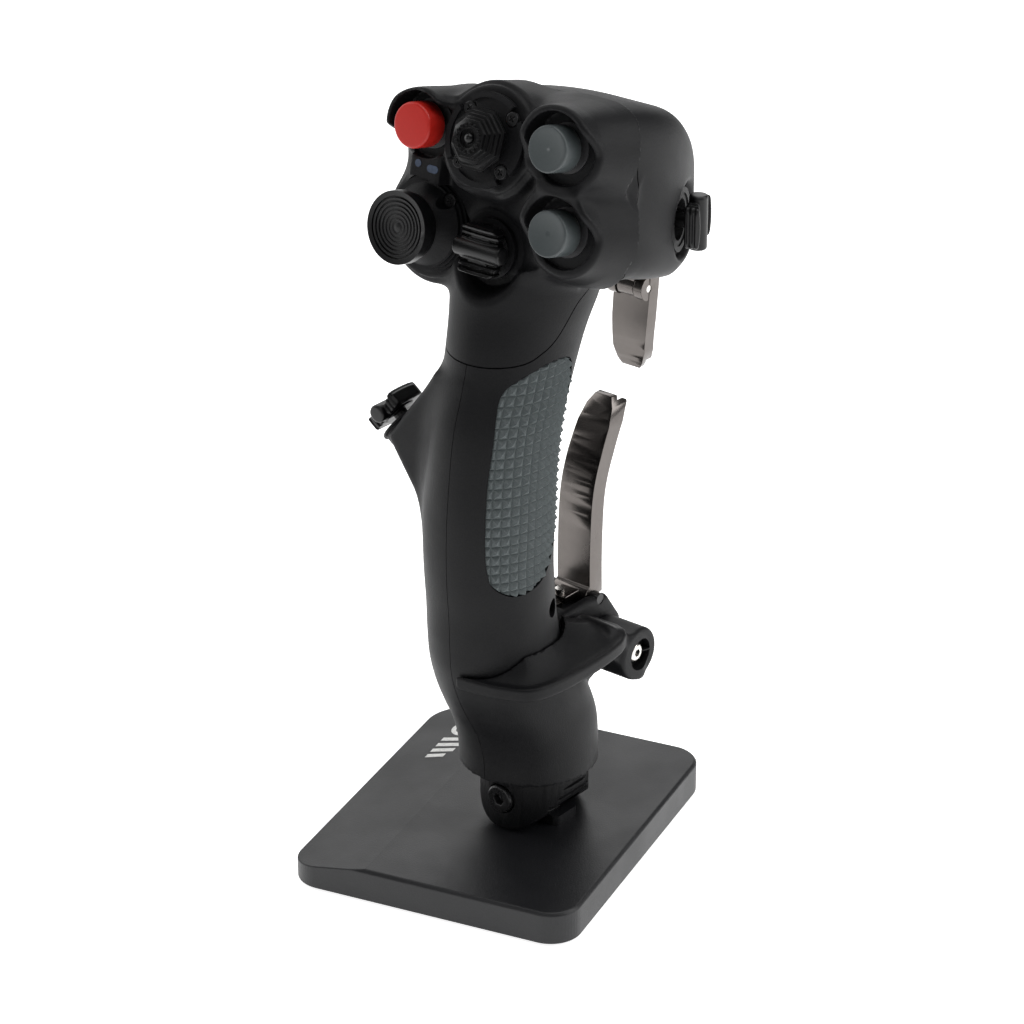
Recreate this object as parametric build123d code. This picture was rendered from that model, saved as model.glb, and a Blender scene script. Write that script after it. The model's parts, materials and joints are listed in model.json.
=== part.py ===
from build123d import *
import math
import os

# Right-handed flight grip on a display stand. Millimetres, +X to the user's right,
# +Y away from the user, +Z up. The origin lies on the desk, under the grip's stem axis.

# ---- stand ----
PLATE_X, PLATE_Y, PLATE_TOP = 85.0, 100.0, 10.4
PLATE_TURN = 14.3                   # the plate is turned under the grip
PLATE_CENTRE = (-9.5, -3.15)
PLATE_CORNER_R = 9.0
STRIP_W, STRIP_DROP = 24.0, 4.1     # sloping strip along the plate's left edge
PAD_X, PAD_Y, PAD_T, PAD_CORNER_R = 70.0, 84.0, 2.0, 6.0
PLATE_BOTTOM = 0.8                  # the pad stands this far proud of the plate
CANT_Z = 20.0                       # height of the cant pivot
CANT_SCREW_R = 2.5
KNUCKLE_R = 15.2
KNUCKLE_TOP = 29.0
STAND_BOLT_PCD_R = 7.5

# ---- handle: height, centre Y, half width X, half depth Y ----
HANDLE = [
    (29.0, -2.6, 19.5, 19.3),
    (36.0, -3.0, 19.6, 19.5),
    (44.0, -4.8, 19.9, 20.2),
    (52.0, -8.5, 19.2, 21.0),
    (60.0, -13.0, 18.2, 20.5),
    (68.0, -16.6, 17.6, 19.4),
    (76.0, -18.4, 17.4, 18.2),
    (85.0, -19.2, 17.3, 17.7),
    (97.0, -20.1, 17.4, 17.6),
    (111.0, -19.8, 17.6, 17.8),
    (125.0, -18.6, 17.3, 17.7),
    (138.0, -16.0, 16.9, 18.3),
    (150.0, -11.3, 16.6, 19.0),
    (160.0, -7.9, 17.2, 20.0),
    (169.0, -4.8, 19.0, 20.6),
    (176.0, -3.0, 21.0, 21.0),
]
WALL = 2.4

# ---- head ----
HEAD_HALF_W, HEAD_HALF_L, HEAD_MID_Y = 34.0, 47.0, 3.0
HEAD_BACK_Y = -19.0
HEAD_ROOF = [(-19, 222), (-9, 226), (5, 223.5), (20, 218), (30, 212), (40, 204), (47, 194), (50, 185),
             (47, 176), (40, 171)]
ROOF_SLANT = (0.35, 0.2)            # fall of the roof's left part per mm to the left and towards the user
ROOF_SLANT_FROM = (-6.0, -9.0, 226.0)
HEAD_FLOOR = [(30, 171), (-12, 171), (-19, 174)]

# ---- hand rest, brake lever and trigger ----
NOSE_HALF_W = 8.6
BOLT_Y, BOLT_Z, BOLT_FACE_X = 19.0, 58.6, 22.0
BOLT_RECESS = 2.6
REST_LOW_Z, REST_EDGE_T, REST_CREST_Z = 65.0, 3.8, 76.5
REST_TILTS = (-1, 0, 1.5, 3, 4.5, 5.5)   # the shelf clears the handle at each of these tilts, in degrees
BRAKE_Y, BRAKE_Z = 18.5, 71.5
LEVER_PATH = [(18.5, 71.5), (18.3, 81), (18.6, 93.3), (19.8, 103.8), (23.3, 113.5), (27.6, 121.5),
              (31.5, 127.5)]
LEVER_W, LEVER_WALL, LEVER_DEPTH = 11.4, 2.2, 5.6
TRIGGER_Y, TRIGGER_Z = 38.0, 178.0
FOLD_Y, FOLD_Z = 42.0, 156.0
BLADE_LOW, BLADE_HALF_W = 131.8, 6.2

# ---- pins, screws and clearances ----
PIN_R, FOLD_PIN_R, BOLT_R = 1.5, 1.0, 1.6
SCREW_HEAD_X = 11.2                 # the shell screws' heads sit this far from the middle plane
RUN = 0.05      # running clearance on a radius
GAP = 0.4       # clearance between neighbouring pieces

# ---- grip panels: outlines in Y and Z, right (1) and left (-1) ----
PANEL_OUTLINES = {
    1: [(-6.0, 154.5), (-4.2, 148.0), (-5.1, 138.8), (-7.8, 126.4), (-9.0, 110.0), (-12.9, 100.9),
        (-18.5, 95.3), (-24.2, 93.2), (-29.0, 93.2), (-32.8, 96.2), (-34.0, 101.0), (-34.3, 108.0),
        (-33.9, 116.0), (-33.0, 124.6), (-31.4, 133.8), (-28.8, 144.0), (-25.4, 151.0),
        (-17.6, 155.2), (-11.0, 156.2)],
    -1: [(-9, 99), (-17, 100), (-26, 98), (-26.5, 88), (-22, 80.5), (-14, 79), (-8.5, 88)],
}
PANEL_DEPTH, PANEL_PROUD, PANEL_GAP = 1.3, 0.5, 0.3


def direction(azimuth, tilt):
    """Outward direction: azimuth 0 faces the user (-Y), 90 faces +X; tilt lifts it."""
    a, t = math.radians(azimuth), math.radians(tilt)
    return Vector(math.sin(a) * math.cos(t), -math.cos(a) * math.cos(t), math.sin(t))


def seat(origin, azimuth, tilt):
    """Plane of a control: its z axis points out, its y axis points up the face."""
    out = direction(azimuth, tilt)
    across = Vector(0, 0, 1).cross(out).normalized()
    return Plane(origin=origin, x_dir=across, z_dir=out)


# the five hats and the three push buttons: where each one sits and which way it faces
SEATS = {
    "centre_hat": seat((0, -19.9, 214.9), 0, 20),
    "castle_hat": seat((0, -17.8, 185.0), 0, 10),
    "thumbstick": seat((-21, -17.6, 186.7), 0, 12),
    "side_hat": seat((27.4, 25.1, 186.6), 111, 0),
    "rear_hat": seat((-28.5, -19.5, 128.6), -90, 37.2),
}
BUTTONS = {
    "red_button": seat((-21, -16.2, 213.8), 0, 12),
    "upper_button": seat((25, -18.8, 218.2), 0, 14),
    "lower_button": seat((25, -18.8, 195.7), 0, 14),
}
BRIDGE = seat((-19.6, -21.6, 203.9), 0, 14)   # indicator windows, between the red button and the stick
BUTTON_R, BUTTON_H, BUTTON_TRAVEL = 6.0, 9.0, 2.0
TURRET_R = {"red_button": 10.4, "upper_button": 11.6, "lower_button": 11.6}
WELL_R = {"red_button": 8.8, "upper_button": 9.2, "lower_button": 9.2}
CUP_R, CUP_DEPTH = 7.0, 9.0         # the switch cup behind each hat's flange
STICK_CUP_R = 9.0
CLEAR_R = {"centre_hat": 12.6, "castle_hat": 9.6, "thumbstick": 13.1, "side_hat": 9.6, "rear_hat": 8.8}
BOWLS = {"castle_hat": (9.8, 16.0), "side_hat": (9.6, 12.4)}   # funnel round a hat: foot and rim radius
BOWL_H = 8.0
PIVOT_H = -3.0                      # the gimbal's centre, below the flange's seat
STICK_TOP = 14.5                    # height of the thumb stick's face above its seat
STEM_R, TRUNNION_R, CUP_BORE_R = 2.0, 0.6, 5.6
STICK_SCREW = (48, 10.4, 1.2)       # angle, radius and height of the screw beside the thumb stick
HAT_SCREW_ANGLES, HAT_SCREW_RING = (45, 135, 225, 315), 9.7
BOTTOM = (Align.CENTER, Align.CENTER, Align.MIN)


def rod(plane, radius, low, high):
    """Cylinder along a plane's normal from height low to height high."""
    body = Cylinder(radius, high - low, align=BOTTOM)
    return plane * Pos(0, 0, low) * body


def block(plane, size_x, size_y, low, high):
    """Box on a plane's normal from height low to height high."""
    body = Box(size_x, size_y, high - low, align=BOTTOM)
    return plane * Pos(0, 0, low) * body


def cross_rod(y, z, radius, x_low, x_high):
    """Cylinder along X."""
    return rod(Plane(origin=(0, y, z), x_dir=(0, 1, 0), z_dir=(1, 0, 0)), radius, x_low, x_high)


def side_slab(face, x_low, x_high):
    """Extrude a face drawn in Y and Z from x_low to x_high."""
    return Pos(x_low, 0, 0) * extrude(Plane.YZ * face, x_high - x_low)


def shifted(points, distance):
    """Open row of points moved to the left of its run by the distance."""
    moved = []
    for k, (u, v) in enumerate(points):
        u0, v0 = points[max(k - 1, 0)]
        u1, v1 = points[min(k + 1, len(points) - 1)]
        run = math.hypot(u1 - u0, v1 - v0)
        moved.append((u - distance * (v1 - v0) / run, v + distance * (u1 - u0) / run))
    return moved


def ribbon(points, near, far):
    """Face along a smooth row of points, from near to far on the left of its run."""
    left = shifted(points, far)
    right = shifted(points, near)
    ends = [Line(left[-1], right[-1]), Line(right[0], left[0])]
    return make_face([Spline(*left), ends[0], Spline(*right[::-1]), ends[1]])


def channel(points, width, wall, depth):
    """Bent channel: a plate on the user's side with a flange along each edge."""
    outer = side_slab(ribbon(points, wall / 2 - depth, wall / 2), -width / 2, width / 2)
    hollow = ribbon(points, -2 * depth, -wall / 2)
    return outer - side_slab(hollow, wall - width / 2, width / 2 - wall)


def front_outline(points):
    """Everything behind an outline drawn in X and Z, mirrored about X = 0."""
    mirrored = [(-x, z) for x, z in points[::-1]]
    return extrude(Plane.XZ * make_face(Polyline(*points, *mirrored, close=True)), 60, both=True)


def hex_socket(plane, flats, low, high):
    """Hexagonal bar across the given flats."""
    profile = plane * Pos(0, 0, low) * RegularPolygon(flats / 2, 6, major_radius=False)
    return extrude(profile, high - low)


# ---------------------------------------------------------------- stand
def on_plate():
    """Place of the turned plate."""
    return Pos(*PLATE_CENTRE, 0) * Rot(0, 0, PLATE_TURN)


def plate_outline(size_x, size_y, corner):
    return on_plate() * RectangleRounded(size_x, size_y, corner)


def stand_plate():
    """Bevelled plate with a sloping strip along its left edge and a pocket for the pad below."""
    outline = plate_outline(PLATE_X, PLATE_Y, PLATE_CORNER_R)
    plate = extrude(Pos(0, 0, PLATE_BOTTOM) * outline, PLATE_TOP - PLATE_BOTTOM)
    plate = chamfer(plate.edges().group_by(Axis.Z)[-1], 0.8)
    slope = math.degrees(math.atan2(STRIP_DROP, STRIP_W))
    wedge = Pos(-PLATE_X / 2 + STRIP_W, 0, PLATE_TOP) * Rot(0, -slope, 0)
    wedge = wedge * Box(2 * STRIP_W, 2 * PLATE_Y, 20, align=(Align.MAX, Align.CENTER, Align.MIN))
    plate -= on_plate() * wedge
    plate -= extrude(plate_outline(PAD_X + GAP, PAD_Y + GAP, PAD_CORNER_R + GAP / 2), PAD_T)
    for spot in stand_bolt_spots():
        plate -= rod(spot, 2.2, 0, PLATE_TOP)
        plate -= rod(spot, 4.0, 0, PAD_T + 4.4)
    return plate


def stand_bolt_spots():
    ring = [(STAND_BOLT_PCD_R, 0), (-STAND_BOLT_PCD_R, 0)]
    return [Plane(origin=(x, y, 0)) for x, y in ring]


def anti_slip_pad():
    pad = extrude(plate_outline(PAD_X, PAD_Y, PAD_CORNER_R), PAD_T)
    return fillet(pad.edges().group_by(Axis.Z)[0], 0.4)


def stand_post():
    """Tongue that the knuckle straddles; it carries the cant screw."""
    foot = extrude(Pos(0, 0, PLATE_TOP) * RectangleRounded(24, 10, 2), 3.0)
    tongue = Pos(0, 0, PLATE_TOP) * Box(13, 8, CANT_Z - PLATE_TOP, align=BOTTOM)
    axis = Plane(origin=(0, 0, CANT_Z), x_dir=(1, 0, 0), z_dir=(0, 1, 0))
    post = foot + tongue + rod(axis, 6.5, -4, 4)
    post -= rod(axis, CANT_SCREW_R + RUN, -6, 6)
    for spot in stand_bolt_spots():
        post -= rod(spot, 1.7, PLATE_TOP, PLATE_TOP + 3.0)
    return post


def stand_screws():
    screws = []
    for spot in stand_bolt_spots():
        screw = rod(spot, 1.65, PAD_T + 0.8, PLATE_TOP + 2.8)
        screw += rod(spot, 3.5, PAD_T + 0.4, PAD_T + 4.4)
        screws.append(screw - hex_socket(spot, 2.5, 0, PAD_T + 2.4))
    return Compound(children=screws)


def adapter_knuckle():
    """Round adapter under the grip, rounded below so that it can cant, with a slot for the post."""
    arc_z = CANT_Z + 6.0
    profile = Pos(0, arc_z) * Circle(KNUCKLE_R)
    upright = Rectangle(2 * KNUCKLE_R, KNUCKLE_TOP - arc_z, align=(Align.CENTER, Align.MIN))
    profile += Pos(0, arc_z) * upright
    body = rod(Plane.XY, KNUCKLE_R, PLATE_TOP, KNUCKLE_TOP)
    body &= extrude(Plane.XZ * profile, 2 * KNUCKLE_R, both=True)
    slot = Box(40, 8.8, KNUCKLE_TOP - 2.1, align=BOTTOM)
    slot += Box(29, 11, PLATE_TOP + 5.2, align=BOTTOM)
    body -= slot & rod(Plane.XY, 13.2, 0, KNUCKLE_TOP - 2.0)
    axis = Plane(origin=(0, 0, CANT_Z), x_dir=(1, 0, 0), z_dir=(0, 1, 0))
    body -= rod(axis, CANT_SCREW_R + RUN, -20, 20)
    body -= rod(axis, 4.5, -20, -12.6)
    body -= rod(Plane.XY, 9.0, KNUCKLE_TOP - 3.0, KNUCKLE_TOP)
    for turn in (8, 20, 32):
        body -= Pos(0, 0, arc_z) * Rot(0, turn, 0) * Pos(KNUCKLE_R, 0, 0) * Box(1.4, 60, 1.2)
    return body


def cant_screw():
    axis = Plane(origin=(0, 0, CANT_Z), x_dir=(1, 0, 0), z_dir=(0, -1, 0))
    screw = rod(axis, CANT_SCREW_R, -11.0, 12.6) + rod(axis, 4.1, 12.6, 16.0)
    screw = fillet(screw.edges().filter_by(GeomType.CIRCLE).sort_by(Axis.Y)[0], 0.6)
    return screw - hex_socket(axis, 3.0, 13.8, 17)


# ---------------------------------------------------------------- casing
def handle_loft(grow, low=0, high=None):
    """Handle through its rows from low to high, with every ellipse grown."""
    rows = HANDLE[low:high]
    return loft([Plane(origin=(0, yc, z)) * Ellipse(a + grow, b + grow) for z, yc, a, b in rows])


def head_block(grow):
    """Head, round in plan and cut off behind, under its sloping roof."""
    plan = Pos(0, HEAD_MID_Y) * Ellipse(HEAD_HALF_W + grow, HEAD_HALF_L + grow)
    plan &= Pos(0, HEAD_BACK_Y - grow) * Rectangle(90, 90, align=(Align.CENTER, Align.MIN))
    roof = shifted(HEAD_ROOF, grow)
    floor = shifted(HEAD_FLOOR, grow)
    profile = make_face([*Spline(*roof).edges(), *Polyline(roof[-1], *floor, roof[0]).edges()])
    slant = Plane(origin=ROOF_SLANT_FROM, z_dir=(-ROOF_SLANT[0], ROOF_SLANT[1], 1))
    return (extrude(plan, 240) & side_slab(profile, -40, 40)) - block(slant, 200, 200, grow, 60)


def turrets():
    """Outer bosses of the face controls."""
    bosses = rod(SEATS["centre_hat"], 14.2, -11, 0)
    bosses += rod(SEATS["castle_hat"], 11.0, -8, 0)
    bosses += rod(SEATS["thumbstick"], 14.4, -12, 0)
    bosses += block(BRIDGE, 10.0, 8.6, -8, 0)
    for name, plane in BUTTONS.items():
        boss = rod(plane, TURRET_R[name], -8, 6.6)
        boss -= plane * Pos(0, -4, 9.6) * Rot(24, 0, 0) * Box(40, 60, 10)
        bosses += boss
    return bosses


def pod():
    """Wedge on the handle's left side that carries the rear hat."""
    corners = [(-9, 149), (-12.4, 149.1), (-28.9, 127.4), (-28, 125.6), (-16.1, 107.8), (-9, 101)]
    outline = make_face(Polyline(*corners, close=True))
    return Pos(0, -10.5, 0) * extrude(Plane.XZ * outline, 17.5)


def nose():
    """Bracket in front of the handle for the brake lever and the hand rest."""
    top = [(-3, 66), (-3, 73), (14, 73), (22, 71.5), (28, 63)]
    bottom = [(28, 56), (22, 50.2), (14, 47.5), (6, 40), (2, 40), (2, 62)]
    outline = make_face(Polyline(*top, *bottom, close=True))
    return side_slab(outline, -NOSE_HALF_W, NOSE_HALF_W)


def casing():
    """The whole hollow body before it is cut into its three covers."""
    outer = handle_loft(0) + head_block(0) + turrets() + pod() + nose()
    inner = handle_loft(-WALL) + head_block(-WALL)
    inner -= nose()
    return outer - inner


def openings():
    """Everything cut through the casing."""
    cuts = []
    for name, plane in SEATS.items():
        cup = STICK_CUP_R if name == "thumbstick" else CUP_R
        cuts.append(rod(plane, cup + 0.15, -CUP_DEPTH - 2, 1))
        cuts.append(rod(plane, CLEAR_R[name], 0, 16))
    for name, (foot, rim) in BOWLS.items():
        cuts.append(SEATS[name] * Cone(foot, rim, BOWL_H, align=BOTTOM))
    for name, plane in BUTTONS.items():
        cuts.append(rod(plane, WELL_R[name], 0, 20))
        cuts.append(rod(plane, 6.6, -14, 1))
    cuts.append(Pos(0, 40, 168) * Box(8.4, 17, 16))
    cuts.append(Pos(0, 15.0, 73.5) * Box(12.4, 20.0, 20))
    cuts.append(cross_rod(BRAKE_Y, BRAKE_Z, PIN_R, -9, 9))
    cuts.append(cross_rod(BOLT_Y, BOLT_Z, BOLT_R + RUN, -9, 9))
    cuts.append(cross_rod(BOLT_Y, BOLT_Z, 3.3, -9, -5.6))
    cuts.append(indicator_windows(1.06, 1.0))
    for spot in shell_screw_spots():
        cuts.append(rod(spot, 1.25, -4.2, SCREW_HEAD_X))
        cuts.append(rod(spot, 2.6, SCREW_HEAD_X, 24))
    for side in (1, -1):
        cuts.append(panel_prism(side, 0))
    return cuts


def shell_screw_spots():
    """Screws along X that hold the two halves; one head is on the right, the others are on the left."""
    places = [(-12.5, 83.7, 1), (8.0, 44.0, -1), (0.0, 158.0, -1)]
    return [Plane(origin=(0, y, z), x_dir=(0, 1, 0), z_dir=(side, 0, 0)) for y, z, side in places]


def panel_prism(side, shrink):
    """Slice of the handle's skin that a grip panel fills."""
    outline = PANEL_OUTLINES[side]
    middle_y = sum(y for y, z in outline) / len(outline)
    middle_z = sum(z for y, z in outline) / len(outline)
    points = []
    for y, z in outline:
        reach = math.hypot(y - middle_y, z - middle_z)
        points.append((y + (middle_y - y) * shrink / reach, z + (middle_z - z) * shrink / reach))
    face = make_face(Spline(*points, periodic=True))
    slab = side_slab(face, 4, 24) if side > 0 else side_slab(face, -24, -4)
    return slab - handle_loft(-PANEL_DEPTH)


def grip_panel(side):
    return panel_prism(side, PANEL_GAP) & handle_loft(PANEL_PROUD)


def bezel_region():
    """The space that the face bezel takes up, bounded by its seam."""
    seam = [(-2, 240), (-2, 205), (-4, 194), (-5, 184), (-2.5, 176), (-7, 171), (-12, 163), (-17, 159),
            (-24, 156.5), (-45, 155)]
    rest = Polyline(seam[-1], (-60, 155), (-60, 240), seam[0])
    return side_slab(make_face([*Spline(*seam).edges(), *rest.edges()]), -60, 60)


def shells():
    """Face bezel, left shell and right shell."""
    body = casing()
    for cut in openings():
        body -= cut
    region = bezel_region()
    bezel = body & region
    rest = body - region
    right = rest & Pos(0.02, 0, 0) * Box(80, 200, 300, align=(Align.MIN, Align.CENTER, Align.MIN))
    left = rest & Pos(-0.02, 0, 0) * Box(80, 200, 300, align=(Align.MAX, Align.CENTER, Align.MIN))
    return bezel, left, right


def shell_screws():
    screws = []
    for spot in shell_screw_spots():
        screw = rod(spot, 1.2, -4, SCREW_HEAD_X) + rod(spot, 2.3, SCREW_HEAD_X, SCREW_HEAD_X + 1.8)
        screws.append(screw - hex_socket(spot, 1.5, SCREW_HEAD_X + 0.8, SCREW_HEAD_X + 3))
    return Compound(children=screws)


# ---------------------------------------------------------------- hand rest
def rest_outline():
    """The shelf seen from above, with its smooth outer edge."""
    edge = [(2.5, -37), (9, -36.2), (16, -34.4), (23, -30.4), (25.9, -21), (26.4, -6), (25.2, 6),
            (23.4, 10.6)]
    back = Polyline(edge[-1], (18.1, 13.6), (10.6, 13.2), (7.6, 10.1), (0, 0), edge[0])
    return make_face([*Spline(*edge).edges(), *back.edges()])


def tilted_rest(angle):
    """Turn about the clamp bolt."""
    return Pos(0, BOLT_Y, BOLT_Z) * Rot(angle, 0, 0) * Pos(0, -BOLT_Y, -BOLT_Z)


def hand_rest():
    """Dished shelf along the right side, with a boss round the clamp bolt."""
    outline = rest_outline()
    inner = Pos(0, 0, REST_CREST_Z) * scale(outline, (0.70, 0.78, 1))
    rest = extrude(Pos(0, 0, REST_LOW_Z) * outline, REST_EDGE_T)
    rest += loft([Pos(0, 0, REST_LOW_Z + REST_EDGE_T) * outline, Pos(1.0, -3.5, 0) * inner])
    rest += cross_rod(BOLT_Y, BOLT_Z, 7.6, NOSE_HALF_W + GAP, BOLT_FACE_X)
    web = [(BOLT_Y, BOLT_Z + 7.5), (13, REST_LOW_Z + 3), (2, REST_LOW_Z + 3), (2, REST_LOW_Z),
           (13, BOLT_Z - 4.6)]
    rest += side_slab(make_face(Polyline(*web, close=True)), 10.5, 21.5)
    for angle in REST_TILTS:
        rest -= tilted_rest(-angle) * handle_loft(0.5, 2, 10)
    passage = Box(2 * (NOSE_HALF_W + GAP), 80, 60, align=(Align.CENTER, Align.MIN, Align.MIN))
    rest -= Pos(0, 0, 30) * passage
    rest -= cross_rod(BOLT_Y, BOLT_Z, BOLT_R + RUN, 0, 30)
    rest -= cross_rod(BOLT_Y, BOLT_Z, 4.6, BOLT_FACE_X - BOLT_RECESS, 30)
    return rest


def hand_rest_bolt():
    face = BOLT_FACE_X - BOLT_RECESS
    axis = Plane(origin=(0, BOLT_Y, BOLT_Z), x_dir=(0, 1, 0), z_dir=(1, 0, 0))
    head = rod(axis, 2.85, face, face + 1.8)
    head = fillet(head.edges().filter_by(GeomType.CIRCLE).sort_by(Axis.X)[-1], 1.1)
    return head + rod(axis, BOLT_R, -8.0, face) - hex_socket(axis, 2.0, face + 0.6, face + 3)


def hand_rest_nut():
    axis = Plane(origin=(0, BOLT_Y, BOLT_Z), x_dir=(0, 1, 0), z_dir=(1, 0, 0))
    return hex_socket(axis, 5.5, -8.2, -5.7) - rod(axis, 1.62, -9, -5)


# ---------------------------------------------------------------- brake lever and trigger
def brake_lever():
    """Channel-shaped finger lever with its pivot eye and the tail that carries the magnet."""
    lever = channel(LEVER_PATH, LEVER_W, LEVER_WALL, LEVER_DEPTH)
    lever &= front_outline([(5.7, 60), (5.7, 112), (5.4, 120), (4.4, 124.6), (2.8, 127.2)])
    lever += cross_rod(BRAKE_Y, BRAKE_Z, 3.4, -LEVER_W / 2, LEVER_W / 2)
    lever += Pos(0, BRAKE_Y - 4.5, BRAKE_Z + 1.2) * Box(6, 9, 2)
    return lever - cross_rod(BRAKE_Y, BRAKE_Z, PIN_R + RUN, -9, 9)


def brake_pin():
    return cross_rod(BRAKE_Y, BRAKE_Z, PIN_R, -8.4, 8.4)


def brake_spring():
    return rod(Plane(origin=(0, 9.5, 0)), 1.8, 63.5, 71.6)


def brake_magnet():
    return rod(Plane(origin=(0, 11.2, 0)), 1.4, 73.7, 75.2)


def trigger_arm():
    """Crank inside the head; its lower fork carries the folding blade."""
    hub = cross_rod(TRIGGER_Y, TRIGGER_Z, 4.0, -3.4, 3.4)
    stem = [(35.6, 178), (40.4, 178), (44.2, 158), (43.8, 155.4), (40.4, 155.4), (39.4, 160)]
    arm = hub + side_slab(make_face(Polyline(*stem, close=True)), -2.6, 2.6)
    arm += cross_rod(FOLD_Y, FOLD_Z, 3.0, -2.6, 2.6)
    arm += Pos(0, TRIGGER_Y - 6.5, TRIGGER_Z + 2.6) * Box(5, 9, 2.4)
    arm -= cross_rod(TRIGGER_Y, TRIGGER_Z, PIN_R + RUN, -9, 9)
    return arm - cross_rod(FOLD_Y, FOLD_Z, FOLD_PIN_R, -9, 9)


def trigger_blade():
    """Curved channel-shaped finger blade with two ears round the arm."""
    curve = [(43.4, 159.5), (42.6, 150), (42.0, 142), (42.2, 136), (43.2, BLADE_LOW)]
    blade = channel(curve[::-1], 2 * BLADE_HALF_W, 1.8, 4.2)
    blade &= front_outline([(6.2, 165), (6.0, 146), (5.4, 137), (4.2, 133.4), (2.6, 131)])
    blade -= Pos(0, FOLD_Y, FOLD_Z + 4) * Box(5.8, 14, 16)
    for x in (-4.5, 4.5):
        blade += cross_rod(FOLD_Y, FOLD_Z, 3.4, x - 1.4, x + 1.4)
    return blade - cross_rod(FOLD_Y, FOLD_Z, FOLD_PIN_R + RUN, -9, 9)


def trigger_pin():
    return cross_rod(TRIGGER_Y, TRIGGER_Z, PIN_R, -7.0, 7.0)


def trigger_bracket():
    """Two posts under the roof of the head that hold the trigger pin and its switch."""
    posts = [Pos(x, TRIGGER_Y, TRIGGER_Z + 2) * Box(3.0, 8, 12) for x in (-5.5, 5.5)]
    bridge = Pos(0, TRIGGER_Y, TRIGGER_Z + 9.4) * Box(14, 10, 2.8)
    return posts[0] + posts[1] + bridge - cross_rod(TRIGGER_Y, TRIGGER_Z, PIN_R, -9, 9)


def fold_pin():
    return cross_rod(FOLD_Y, FOLD_Z, FOLD_PIN_R, -5.9, 5.9)


def trigger_spring():
    return rod(Plane(origin=(0, TRIGGER_Y - 9, 0)), 1.6, 182.2, 186.0)


def trigger_switch():
    return Pos(0, TRIGGER_Y - 9.5, 190.0) * Box(10, 9, 7.6)


# ---------------------------------------------------------------- buttons
def button_cap(plane, dish):
    """Round cap with a guide stem; a shallow dish in its face when asked for."""
    cap = rod(plane, BUTTON_R, 0.6 + BUTTON_TRAVEL, BUTTON_H)
    edge = cap.edges().filter_by(GeomType.CIRCLE).sort_by(Axis(plane.origin, plane.z_dir))[-1]
    cap = fillet(edge, 0.7)
    if dish:
        cap -= plane * Pos(0, 0, BUTTON_H + 29.4) * Sphere(30.0)
    return cap + rod(plane, 3.0, -6.0, 3.0)


def button_switch(plane):
    """Housing of the push switch, pressed into the casing under the cap."""
    housing = rod(plane, 6.5, -13.0, 0.2)
    return housing - rod(plane, 3.0 + RUN, -8.4, 1)


# ---------------------------------------------------------------- hats
def flange(plane, radius, height, lip):
    """Bezel ring and switch cup of one hat."""
    ring = rod(plane, radius, 0, height)
    ring += rod(plane, radius, height, height + lip) - rod(plane, radius - 1.5, height, height + lip)
    cup = rod(plane, CUP_R, -CUP_DEPTH, 0)
    hollow = rod(plane, CUP_BORE_R, -CUP_DEPTH + 1.5, height + 5)
    return ring + cup - hollow


def trunnions(plane, along_x, radius, inner, outer):
    """Pair of pivot stubs on the gimbal's level."""
    turn = Rot(0, 90, 0) if along_x else Rot(90, 0, 0)
    level = plane * Pos(0, 0, PIVOT_H) * turn
    stub = Cylinder(radius, outer - inner)
    middle = (inner + outer) / 2
    return level * Pos(0, 0, middle) * stub + level * Pos(0, 0, -middle) * stub


def hat_base(plane, radius, height, lip, pockets):
    """Flange and cup with the gimbal's sockets and an open pocket for each screw."""
    base = flange(plane, radius, height, lip)
    base -= trunnions(plane, True, TRUNNION_R + RUN, 5.0, 6.6)
    for angle in pockets:
        spot = plane * Rot(0, 0, angle) * Pos(radius - 2.6, 0, 0)
        base -= spot * Cylinder(2.1, 20, align=BOTTOM)
        base -= spot * Pos(2.1, 0, 0) * Box(4.2, 4.2, 20, align=BOTTOM)
    return base


def hat_gimbal(plane):
    """Ring that sways on the base and carries the inner sleeve."""
    ring = rod(plane, 5.2, PIVOT_H - 0.9, PIVOT_H + 0.9) - rod(plane, 4.1, PIVOT_H - 2, PIVOT_H + 2)
    ring += trunnions(plane, True, TRUNNION_R, 5.0, 6.4)
    return ring - trunnions(plane, False, TRUNNION_R + RUN, 3.9, 5.4)


def hat_carrier(plane):
    """Sleeve that tilts in the gimbal and guides the cap's stem."""
    sleeve = rod(plane, 3.6, PIVOT_H - 2.6, PIVOT_H + 1.6)
    sleeve += trunnions(plane, False, TRUNNION_R, 3.4, 4.9)
    return sleeve - rod(plane, STEM_R + RUN, PIVOT_H - 5, PIVOT_H + 5)


def hat_stem(plane, top):
    return rod(plane, STEM_R, PIVOT_H - 3.2, top)


def octagon_cap(plane):
    """Five stepped octagons, a ring of studs and a centre nub."""
    cap = hat_stem(plane, 4.0)
    flats = [15.6, 14.0, 12.4, 10.8, 9.4]
    for k, width in enumerate(flats):
        octagon = RegularPolygon(width / 2, 8, major_radius=False, rotation=22.5)
        cap += extrude(plane * Pos(0, 0, 3.4 + 1.0 * k) * octagon, 1.0)
    top = 3.4 + len(flats)
    cap -= rod(plane, 2.6, top - 0.8, top + 2)
    cap += plane * Pos(0, 0, top - 0.9) * Sphere(1.5)
    for k in range(16):
        cap += plane * Rot(0, 0, 22.5 * k) * Pos(3.55, 0, top + 0.2) * Cylinder(0.42, 0.5)
    return cap


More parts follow.
